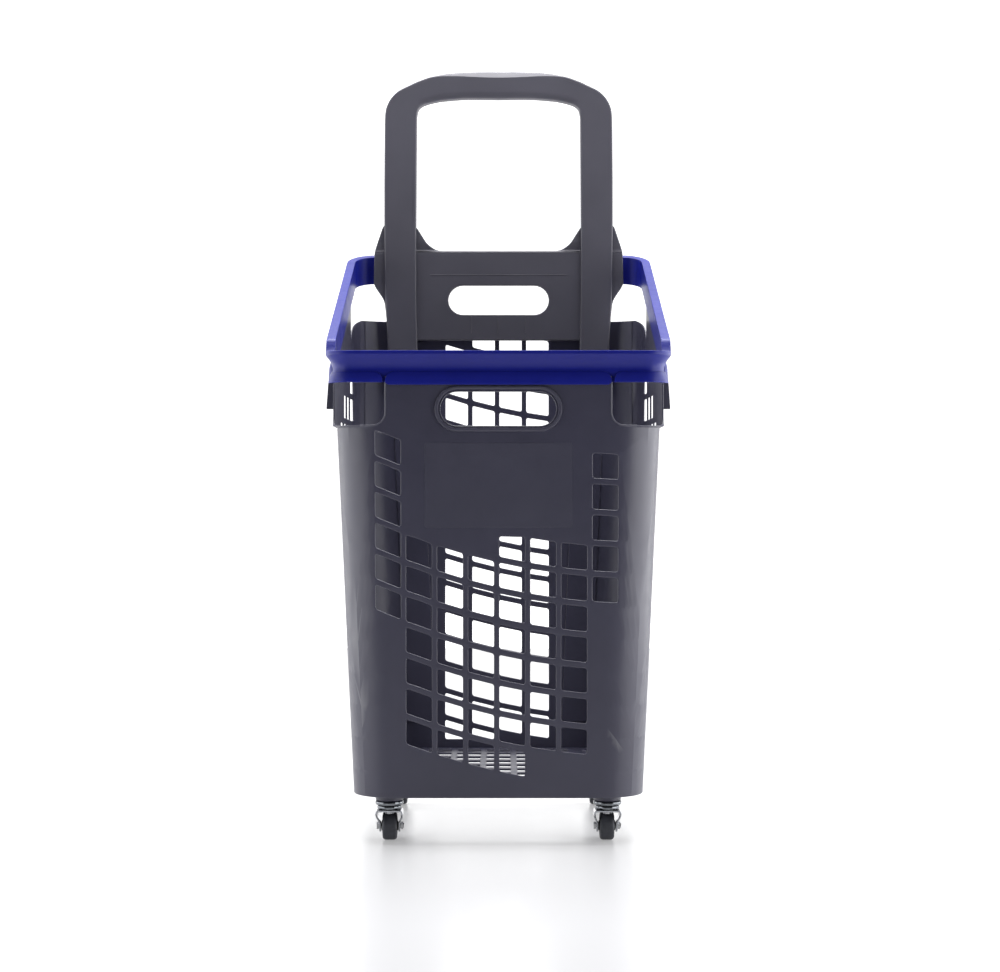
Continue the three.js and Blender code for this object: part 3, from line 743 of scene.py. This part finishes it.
def make_side_skirts():
    """The flared skirts under the rim frame along both sides, with the ribs that tie them to the wall."""
    profile = [(206.2, -1), (207.8, -4), (209, -8), (211, -31), (213, -SKIRT_DROP)]
    foot = -SKIRT_DROP + 0.8
    rib_outline = [(203.2, -3), (205, -3), (208, -8), (212, foot), (203.2, foot)]
    corners = [(SKIRT_FRONT, -SKIRT_DROP), (SKIRT_REAR, -SKIRT_DROP), (SKIRT_REAR, -1), (SKIRT_FRONT, -1)]
    outline = rounded(corners, 3)
    pieces = []
    for side in (1, -1):
        skirt = plate("skirt", [outline], 1.9, 0.7)
        cut(skirt, 1, [-31, -8, -4])
        cut(skirt, 0, [-100, -50, 0, 50, 100])
        place_points(skirt, lambda y, s, w: (side * (along_profile(profile, s) - w), y, rim_line(y) + s))
        pieces.append(skirt)
        for y in SKIRT_RIBS:
            rib = plate("rib", [rib_outline], 2, 0.4, 1)
            place_points(rib, lambda x, s, w: (side * x, y + w, rim_line(y) + s))
            pieces.append(rib)
    return finish_piece(join("side_skirts", pieces), SHADED_TUB_PLASTIC, "tub", "root")


def along_profile(profile, height):
    """The first coordinate of a falling profile at a height."""
    for (x0, z0), (x1, z1) in zip(profile, profile[1:]):
        if height >= z1:
            return x0 + (x1 - x0) * (height - z0) / (z1 - z0)
    return profile[-1][0]


def make_window_beads():
    """The rolled bead round each corner window's edge, on the front wall and on the side wall."""
    beads = []
    front = [(WINDOW_INNER - 0.4, z) for z in (562, 550, 540, 532)]
    front += quarter(WINDOW_INNER + WINDOW_ROUND - 0.4, LEDGE + WINDOW_ROUND - 0.4, 180, WINDOW_ROUND, 10, 1)
    front += [(x, LEDGE - 0.8) for x in (156, 162, 168)]
    for side in (1, -1):
        line = [end_wall_point(side * flat_end([(x, z)])[0][0], z, 0.6, False) for x, z in front]
        beads.append(tube(line, 1.15))
    return finish_piece(join("window_beads", beads), SHADED_TUB_PLASTIC, "tub", "root")


def tube(line, radius, sides=8):
    """A round bead along a line of points, closed at its ends."""
    points, faces = [], []
    for i, here in enumerate(line):
        ahead = Vector(line[min(i + 1, len(line) - 1)]) - Vector(line[max(i - 1, 0)])
        across = ahead.cross((0, 1, 0)).normalized()
        up = ahead.cross(across).normalized()
        for k in range(sides):
            angle = 2 * math.pi * k / sides
            points.append(Vector(here) + (across * math.cos(angle) + up * math.sin(angle)) * radius)
    for i in range(len(line) - 1):
        for k in range(sides):
            m = (k + 1) % sides
            faces.append((i * sides + k, i * sides + m, (i + 1) * sides + m, (i + 1) * sides + k))
    faces.append(tuple(range(sides)))
    faces.append(tuple(range((len(line) - 1) * sides, len(line) * sides)))
    return mesh_object("bead", points, faces)


# ---------------------------------------------------------------- rim frame


def rim_inset(height):
    t = (RIM_LIP - height) / (RIM_LIP - RIM_FOOT)
    pull = 2 * RIM_WAIST - RIM_FOOT_INSET / 2
    return 2 * t * (1 - t) * pull + t * t * RIM_FOOT_INSET


def rim_stations():
    """Points round the rim frame's outer outline with the outward direction at each."""
    steps = [0.3, *range(1, 11), 12]
    near = [NOTCH_X + step for step in sorted([-step for step in steps] + steps)]
    front = sorted([-x for x in near] + near + [20.0 * k for k in range(-6, 7)])
    stations = [(x, -RIM_HALF_DEPTH, 0, -1) for x in front]
    depths = [y for y, _ in RAMP] + [20 * k for k in range(-8, 9)]

    def corner(side, end, radius, start):
        for k in range(17):
            angle = math.radians(start + 90 * k / 16)
            nx, ny = math.cos(angle), math.sin(angle)
            cx, cy = side * (RIM_HALF_WIDTH - radius), end * (RIM_HALF_DEPTH - radius)
            stations.append((cx + radius * nx, cy + radius * ny, nx, ny))

    corner(1, -1, RIM_CORNER, -90)
    stations.extend((RIM_HALF_WIDTH, y, 1, 0) for y in depths)
    corner(1, 1, RIM_REAR_CORNER, 0)
    corner(-1, 1, RIM_REAR_CORNER, 90)
    stations.extend((-RIM_HALF_WIDTH, y, -1, 0) for y in reversed(depths))
    corner(-1, -1, RIM_CORNER, 180)
    return stations


APRON = 13.5
APRON_ROUND = 11.5
APRON_GAP = 1.2


def apron_height(x, ny):
    """How tall the apron on the frame's foot is at a place: it ends in a round at each notch of the front."""
    if ny > -0.999:
        return APRON
    away = clamp((abs(abs(x) - NOTCH_X) - APRON_GAP) / APRON_ROUND)
    return APRON * math.sqrt(1 - (1 - away) ** 2)


def apron_inset(height):
    return RIM_FOOT_INSET + (7.4 - RIM_FOOT_INSET) * clamp((height - RIM_FOOT) / (APRON - RIM_FOOT)) ** 1.3


def make_rim_frame():
    """The rim frame's loop: a lip, a hollow waist, and an apron round its foot with two notches."""
    waist = [(rim_inset(h), h) for h in (32, 30.5, 28.5, 26, 23, 20.5, 18, 16.5, 15.2)]
    top = [(0.9, 38), (0.3, 37.7), (0, 37.1), (0, 34.4), (0.25, 33.3), *waist, (8.35, 14.4)]
    inside = [(10.6, 0), (11.25, 0.3), (11.5, 1.0), (11.5, 36.8), (11.15, 37.65), (10.2, 38)]
    shares = [1.0, 0.985, 0.95, 0.9, 0.75, 0.6, 0.45, 0.3, 0.2, 0.1, 0.0]

    def ring(station):
        x, y, nx, ny = station
        tall = apron_height(x, ny)
        drop = 3 * clamp((NOTCH_X - APRON_GAP - abs(x)) / 4) if ny < -0.999 else 0
        fade = clamp(tall / 4)
        low = [(8.4, tall + 0.3), (8.3, tall)]
        for share in shares[1:]:
            height = tall * share
            inset = apron_inset(height) + 0.5 * clamp((share - 0.95) / 0.05)
            low.append((8.3 + (inset - 8.3) * fade, height - drop * (1 - share)))
        low += [(8.3 + (3.9 - 8.3) * fade, -0.35 - drop + 0.3), (9, 0 - drop)]
        points = []
        for inset, height in [*top, *low, *inside]:
            px, py = x - nx * inset, y - ny * inset
            points.append((px, py, rim_line(py) + height))
        return points

    rim = swept_loop("rim_frame_shell", rim_stations(), ring)
    return finish_piece(rim, RIM_PLASTIC, "rim_frame", "root")


# ---------------------------------------------------------------- push handle

BOW_FRONT = 191
PANEL_FRONT = 196
HANDLE_BACK = RIM_HALF_DEPTH - RIM_WIDTH - 0.3
GRIP_BACK = 213
LEG_BOTTOM = 560


ARCH_TOP = [
    (158.4, 930), (158, 950), (157, 959.9), (154.9, 966.8), (151.4, 973.8), (146, 980.7), (137.8, 987.7),
    (124.2, 994.4), (114.4, 999.1), (104.7, 1002.8), (95, 1006.2), (85.2, 1008.3), (75.5, 1010.3),
    (56, 1012.6), (27, 1013.9), (0, 1014.1),
]
ARCH_BOTTOM = [
    (0, 976.6), (22, 977), (45.8, 976.9), (70, 975.2), (84.6, 973.4), (100, 969.6), (107.5, 966),
    (112, 960.5), (113.8, 950),
]
SCOOP_DEPTH = 7.2


def bow_outline():
    outer = [(150.6, LEG_BOTTOM), (154, 628), (157.6, 700), (159, 802), (159, 860), *smooth_line(ARCH_TOP, 3)]
    inner = [*smooth_line(ARCH_BOTTOM, 3), (114.7, 798.5), (114.7, 700), (113, 628), (109.7, LEG_BOTTOM)]
    left_outer = [(-x, z) for x, z in reversed(outer)][1:]
    left_inner = [(-x, z) for x, z in reversed(inner)]
    return [*outer, *left_outer, *left_inner, *inner[1:]]


def bow_back(z):
    """The bow's rear face: thick at the grip, thin behind the rim frame, and clear of the rear wall below."""
    upper = HANDLE_BACK - 0.3 + (GRIP_BACK - HANDLE_BACK) * clamp((z - 772) / 14)
    return min(upper, rear_y(z) - WALL - 0.3) if z < REAR_TOP else upper


def height_at(line, x):
    """Height of one of the arch's two lines at a distance from the middle."""
    for (x0, z0), (x1, z1) in zip(line, line[1:]):
        if min(x0, x1) <= abs(x) <= max(x0, x1):
            return z0 + (z1 - z0) * (abs(x) - x0) / (x1 - x0)
    return max(line)[1]


# The palm facet's greatest height, and where the grip's reliefs end.
FACET_HEIGHT = 9.2
FACET_HALF_WIDTH = 104
GRIP_HALF_WIDTH = 112


def palm_relief(x, z):
    """How far the grip's front face is set back: a lens-shaped facet for the palm, and a round below it."""
    if abs(x) > GRIP_HALF_WIDTH or z < 960:
        return 0.0
    lens = FACET_HEIGHT * clamp(math.cos(math.pi * abs(x) / (2 * FACET_HALF_WIDTH))) ** 1.2
    facet = SCOOP_DEPTH * clamp((z - height_at(ARCH_TOP, x) + lens) / FACET_HEIGHT)
    share = clamp((height_at(ARCH_BOTTOM, x) + 9 - z) / 9) ** 2
    return facet + 3.2 * share * clamp((GRIP_HALF_WIDTH - abs(x)) / 12)


def make_handle():
    depth = 20
    bow = plate("bow", [bow_outline()], depth, 2.2, 3)
    cut(bow, 1, [600, 640, 666.9, 667.1, 700, 772, 776, 779, 782, 786, 850, 920])
    cut(bow, 1, [960 + 1.5 * k for k in range(37)])
    cut(bow, 0, [7 * k for k in range(-16, 17)])

    def bow_point(x, z, w):
        share = w / depth
        front = BOW_FRONT + palm_relief(x, z)
        return x, front + share * (bow_back(z) - front), z

    place_points(bow, bow_point)
    right = [
        (154, 640), (154, 648.5), (159, 695), (171.6, 713.5), (174, 719), (173, 763), (160, 802),
        (125, 802), (114.7, 798.5), (99.4, 774), (85.5, 765),
    ]
    outline = rounded([*right, *[(-x, z) for x, z in reversed(right)]], 7, 4)
    panel = plate("panel", [outline, stadium(*SLOT, HANDLE_SLOT_Z)], HANDLE_BACK - PANEL_FRONT, 1.4, 3)
    cut(panel, 1, [760.2, 761, 762, 763, 764])

    def panel_point(x, z, w):
        back = 3.4 * clamp((z - 760.2) / 4.6) * clamp((104 - abs(x)) / 12)
        return x, PANEL_FRONT + back + w * (1 - back / (HANDLE_BACK - PANEL_FRONT)), z

    place_points(panel, panel_point)
    ribs = [handle_rib(0, 731, 190, 1.2), *[handle_rib(x, 662, 1.6, 24) for x in (-38, -1, 37)]]
    handle = join("push_handle_shell", [bow, panel, *ribs])
    return finish_piece(handle, HANDLE_PLASTIC, "push_handle", "root")


def handle_rib(x, z, width, height):
    """A faint raised line on the front of the handle's panel."""
    corners = [(x - width / 2, z - height / 2), (x + width / 2, z - height / 2),
               (x + width / 2, z + height / 2), (x - width / 2, z + height / 2)]
    rib = plate("rib", [rounded(corners, 0.5)], 1.0, 0.3, 1)
    place_points(rib, lambda px, pz, w: (px, PANEL_FRONT - 0.35 + w, pz))
    return rib


# ---------------------------------------------------------------- casters

SHEET_STEEL = 2.3


def fork_line():
    """The middle line of the pressed fork in X and Z, from one foot over the crown to the other."""
    half = [
        (11.85, 8.5), (11.85, 20.5), (12.2, 22.7), (13.3, 25.3), (14.8, 28.6), (15.6, 31.2), (15.75, 33.8),
        (15.6, 36.2), (14.7, 37.9), (12.6, 38.5), (0, 38.5),
    ]
    right = smooth_line(half, 4)
    return [*right, *[(-x, z) for x, z in reversed(right[:-1])]]


def along_line(line):
    """A rule from distance along a line, and depth across it, to a point."""
    lengths = [0.0]
    for a, b in zip(line, line[1:]):
        lengths.append(lengths[-1] + math.dist(a, b))

    def point(distance, across):
        distance = max(0.0, min(lengths[-1], distance))
        i = max(k for k in range(len(line) - 1) if lengths[k] <= distance + 1e-9)
        t = (distance - lengths[i]) / (lengths[i + 1] - lengths[i])
        a, b = Vector(line[i]), Vector(line[i + 1])
        before = (a - Vector(line[max(i - 1, 0)])).normalized() if i else (b - a).normalized()
        here = (b - a).normalized()
        ahead = (Vector(line[min(i + 2, len(line) - 1)]) - b).normalized() if i + 2 < len(line) else here
        tangent = ((before + here) * (1 - t) + (here + ahead) * t).normalized()
        middle = a + (b - a) * t
        return middle.x + tangent.y * across, middle.y - tangent.x * across

    return point, lengths[-1]


def circle(x, y, radius, steps=24):
    angles = [2 * math.pi * k / steps for k in range(steps)]
    return [(x + radius * math.cos(a), y + radius * math.sin(a)) for a in angles]


def make_fork(corner, place):
    """A pressed steel fork: one flat blank with its holes, bent over the crown."""
    point, length = along_line(fork_line())
    foot = AXLE_Z - 8.5
    angles = [math.radians(a) for a in range(-80, 81, 16)]
    low_edge = [(foot - 7.8 * math.cos(a), TRAIL + 7.4 * math.sin(a)) for a in angles]
    front_edge = [(length / 2, -14.2), (27, -14), (22, -4)]
    near = [*front_edge, *low_edge, (20, TRAIL + 7.2), (27, 15.0), (length / 2, 14.0)]
    outline = [*near, *[(length - d, y) for d, y in reversed(near)]]
    holes = [circle(foot, TRAIL, 3.2), circle(length - foot, TRAIL, 3.2), circle(length / 2, 0, 4.4)]
    fork = plate(f"caster_{corner}_fork_shell", [outline, *holes], SHEET_STEEL, 0.5)
    cut(fork, 0, [length * k / 64 for k in range(1, 64)])

    def bent(distance, y, w):
        x, z = point(distance, SHEET_STEEL / 2 - w)
        return x + place[0], y + place[1], z

    place_points(fork, bent)
    return fork


def make_race(corner, place, which, radius, bottom, top):
    """A pressed race cup with a rolled edge and a shallow step."""
    section = [
        (4.4, bottom + 0.6), (radius - 5, bottom + 0.6), (radius - 2.6, bottom), (radius - 0.9, bottom + 0.5),
        (radius - 0.1, bottom + 1.6), (radius, bottom + 2.8), (radius - 0.2, top - 1.1),
        (radius - 1.1, top - 0.2), (radius - 2.2, top), (4.4, top),
    ]
    return turned(f"caster_{corner}_{which}_race_shell", section, 56, "Z", (place[0], place[1], 0))


def make_tyre(corner, place):
    """A moulded tyre with rounded shoulders and a fine groove round its tread."""
    half = [
        (10.9, 9.0), (12.5, 9.0), (14.2, 8.85), (15.6, 8.35), (16.7, 7.4), (17.25, 6.2), (17.45, 4.5),
        (17.5, 1.0), (17.5, 0.6), (17.3, 0.35), (17.3, 0),
    ]
    section = [*half, *[(r, -x) for r, x in reversed(half[:-1])]]
    return turned(f"caster_{corner}_tyre_shell", section, 72, "X", (place[0], place[1] + TRAIL, AXLE_Z))


def make_hub(corner, place):
    """A moulded hub with dished faces and a boss each side."""
    half = [
        (3.3, 10.3), (5.6, 10.3), (6.3, 9.8), (6.5, 8.2), (7.2, 7.2), (8.6, 7.1), (9.4, 7.6), (10.0, 8.4),
        (10.5, 8.2), (10.6, 7.2),
    ]
    section = [*half, *[(r, -x) for r, x in reversed(half)]]
    return turned(f"caster_{corner}_hub_shell", section, 48, "X", (place[0], place[1] + TRAIL, AXLE_Z))


def make_casters():
    for corner, place in caster_places().items():
        node = f"caster_{corner}"
        swivel, wheel = f"swivel_{corner}", f"wheel_{corner}"
        upper = make_race(corner, place, "upper", 17.4, 45.4, 50.7)
        lower = make_race(corner, place, "lower", 15.0, 40.0, 45.1)
        finish_piece(upper, DARKENED_RACE_STEEL, f"{node}_upper_race", "root")
        finish_piece(lower, DARKENED_RACE_STEEL, f"{node}_lower_race", swivel)
        finish_piece(make_fork(corner, place), CHROME, f"{node}_fork", swivel)
        finish_piece(make_hub(corner, place), HUB, f"{node}_wheel_hub", wheel)
        finish_piece(make_tyre(corner, place), TYRE, f"{node}_tyre", wheel)


def dress_fasteners():
    """The screws, bolts, nuts and washers stay the CAD's own: plated, with their edges eased."""
    for name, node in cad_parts.items():
        if node.hide_render:
            continue
        node.data.materials.clear()
        node.data.materials.append(ZINC)
        easing = node.modifiers.new("eased", "BEVEL")
        easing.width = 0.35 * MM
        easing.segments = 2
        easing.limit_method = "ANGLE"
        easing.angle_limit = math.radians(40)
        easing.harden_normals = False


# ---------------------------------------------------------------- floor, light and camera


def make_stage():
    """A pale, softly glossy floor under the basket, and a white backdrop beside and far behind it."""
    across = [-9000, -1450, 1450, 9000]
    profile = [(-2600, 0), (3000, 0), (5200, 0), (6000, 150), (6600, 600), (6900, 1400), (6900, 6000)]
    points = [(x, y, z) for y, z in profile for x in across]
    columns = len(across)
    faces = []
    for i in range(len(profile) - 1):
        for k in range(columns - 1):
            corner = columns * i + k
            faces.append((corner, corner + 1, corner + columns + 1, corner + columns))
    floor = mesh_object("floor", points, faces)
    floor.data.materials.append(stage_material("pale_floor", (0.42, 0.42, 0.43), 0.24, 0.28))
    floor.data.materials.append(stage_material("backdrop", (0.80, 0.80, 0.80), 0.5, 1.0))
    middle_front = 1
    for index, face in enumerate(floor.data.polygons):
        face.material_index = int(index != middle_front)
    floor.data.polygons.foreach_set("use_smooth", [True] * len(floor.data.polygons))


def stage_material(name, colour, roughness, glow):
    material, nodes, links, shader, coordinates = start_material(name)
    haze = noise(nodes, links, coordinates, 3, 2)
    lighter = tuple(c * 1.03 for c in colour)
    links.new(blend_colour(nodes, links, haze, colour, lighter), shader.inputs["Base Color"])
    shader.inputs["Roughness"].default_value = roughness
    shader.inputs["Emission Color"].default_value = (1, 1, 1, 1)
    shader.inputs["Emission Strength"].default_value = glow
    return material


def area_light(name, place, target, size, power):
    light = bpy.data.lights.new(name, "AREA")
    light.shape = "RECTANGLE"
    light.size, light.size_y = size
    light.energy = power
    lamp = bpy.data.objects.new(name, light)
    lamp.location = place
    lamp.rotation_euler = (Vector(target) - Vector(place)).to_track_quat("-Z", "Y").to_euler()
    bpy.context.scene.collection.objects.link(lamp)
    lamp.visible_camera = False
    return lamp


def make_light():
    for side, power in ((-1, 27), (1, 43)):
        area_light(f"panel_{side + 1}", (side * 1.6, -0.15, 0.85), (0, -0.15, 0.75), (2.8, 1.7), power)
    area_light("overhead", (0, 0.2, 2.2), (0, 0.2, 0), (2.0, 1.6), 86)
    world = bpy.data.worlds.new("studio")
    world.use_nodes = True
    nodes, links = world.node_tree.nodes, world.node_tree.links
    output = nodes["World Output"]
    seen = nodes["Background"]
    seen.inputs["Color"].default_value = (1, 1, 1, 1)
    seen.inputs["Strength"].default_value = 1.0
    room = nodes.new("ShaderNodeBackground")
    room.inputs["Color"].default_value = (0.96, 0.97, 1, 1)
    direction = nodes.new("ShaderNodeTexCoord").outputs["Generated"]
    parts = nodes.new("ShaderNodeSeparateXYZ")
    links.new(direction, parts.inputs["Vector"])
    links.new(spread(nodes, links, parts.outputs["Y"], 0.04, 1.0, -0.25, 0.55), room.inputs["Strength"])
    path = nodes.new("ShaderNodeLightPath")
    choose = nodes.new("ShaderNodeMixShader")
    links.new(path.outputs["Is Camera Ray"], choose.inputs["Fac"])
    links.new(room.outputs["Background"], choose.inputs[1])
    links.new(seen.outputs["Background"], choose.inputs[2])
    links.new(choose.outputs["Shader"], output.inputs["Surface"])
    bpy.context.scene.world = world
    bpy.context.scene.view_settings.view_transform = "Standard"


def make_camera():
    camera = bpy.data.cameras.new("camera")
    camera.lens = 77.8
    camera.sensor_width = 36
    camera.clip_end = 60
    holder = bpy.data.objects.new("camera", camera)
    holder.location = (0.002, -2.814, 0.437)
    holder.rotation_euler = (math.pi / 2, 0, 0)
    bpy.context.scene.collection.objects.link(holder)
    bpy.context.scene.camera = holder


make_camera()
make_tub_walls()
make_tub_floor()
make_slot_rim()
make_sign_panel()
make_leg_bands()
make_side_skirts()
make_window_beads()
make_rim_frame()
make_handle()
make_casters()
dress_fasteners()
make_stage()
make_light()
